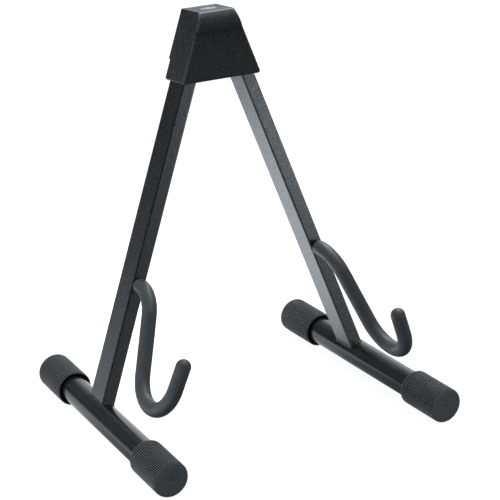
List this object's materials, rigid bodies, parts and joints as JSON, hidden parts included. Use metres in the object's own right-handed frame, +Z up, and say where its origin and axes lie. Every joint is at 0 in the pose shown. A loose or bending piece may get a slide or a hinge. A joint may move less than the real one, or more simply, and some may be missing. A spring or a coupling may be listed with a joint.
{
  "type": "guitar stand",
  "caption": "Folding A-frame guitar stand: tube legs hinged in a moulded head, floor tubes with ribbed rubber caps, and padded cradle arms.",
  "frame": {"origin": "on the floor under the middle of the stand's box", "axes": "+Z up, -Y to the front where the guitar rests, +X to the right seen from the front"},
  "size_m": [0.3104, 0.2478, 0.3598],
  "materials": {
    "hood": "moulded black elastomer with a fine matte grain",
    "badge": "satin, bare",
    "zinc_steel": "zinc plated",
    "nylon": "natural nylon",
    "powder_coat": "fine textured black powder coat",
    "gloss_coat": "smooth semi-gloss black powder coat",
    "cap_rubber": "matte moulded black rubber with fine lengthwise ribs",
    "bare_steel": "drawn steel rod",
    "sleeve": "matte black soft vinyl hose"
  },
  "bodies": {
    "head": {"head_hood": "hood", "head_badge": "badge", "hinge_bracket": "zinc_steel", "left_hinge_pin": "zinc_steel", "right_hinge_pin": "zinc_steel", "left_thrust_washers": "nylon", "right_thrust_washers": "nylon"},
    "left_leg": {"left_leg_tube": "powder_coat", "left_leg_bush": "nylon", "left_foot_tube": "gloss_coat", "left_foot_weld": "powder_coat", "left_front_cap": "cap_rubber", "left_rear_cap": "cap_rubber", "left_arm_rod": "bare_steel", "left_arm_weld": "powder_coat", "left_arm_sleeve": "sleeve"},
    "right_leg": {"right_leg_tube": "powder_coat", "right_leg_bush": "nylon", "right_foot_tube": "gloss_coat", "right_foot_weld": "powder_coat", "right_front_cap": "cap_rubber", "right_rear_cap": "cap_rubber", "right_arm_rod": "bare_steel", "right_arm_weld": "powder_coat", "right_arm_sleeve": "sleeve"}
  },
  "joints": [
    {"name": "left_leg_fold", "type": "hinge", "parent": "head", "child": "left_leg", "pos_m": [-0.011, 0.05727, 0.34633], "axis": [0, -0.9943, 0.1063], "range_deg": [0, 19.3]},
    {"name": "right_leg_fold", "type": "hinge", "parent": "head", "child": "right_leg", "pos_m": [0.011, 0.05727, 0.34633], "axis": [0, 0.9943, -0.1063], "range_deg": [0, 19.3]}
  ]
}
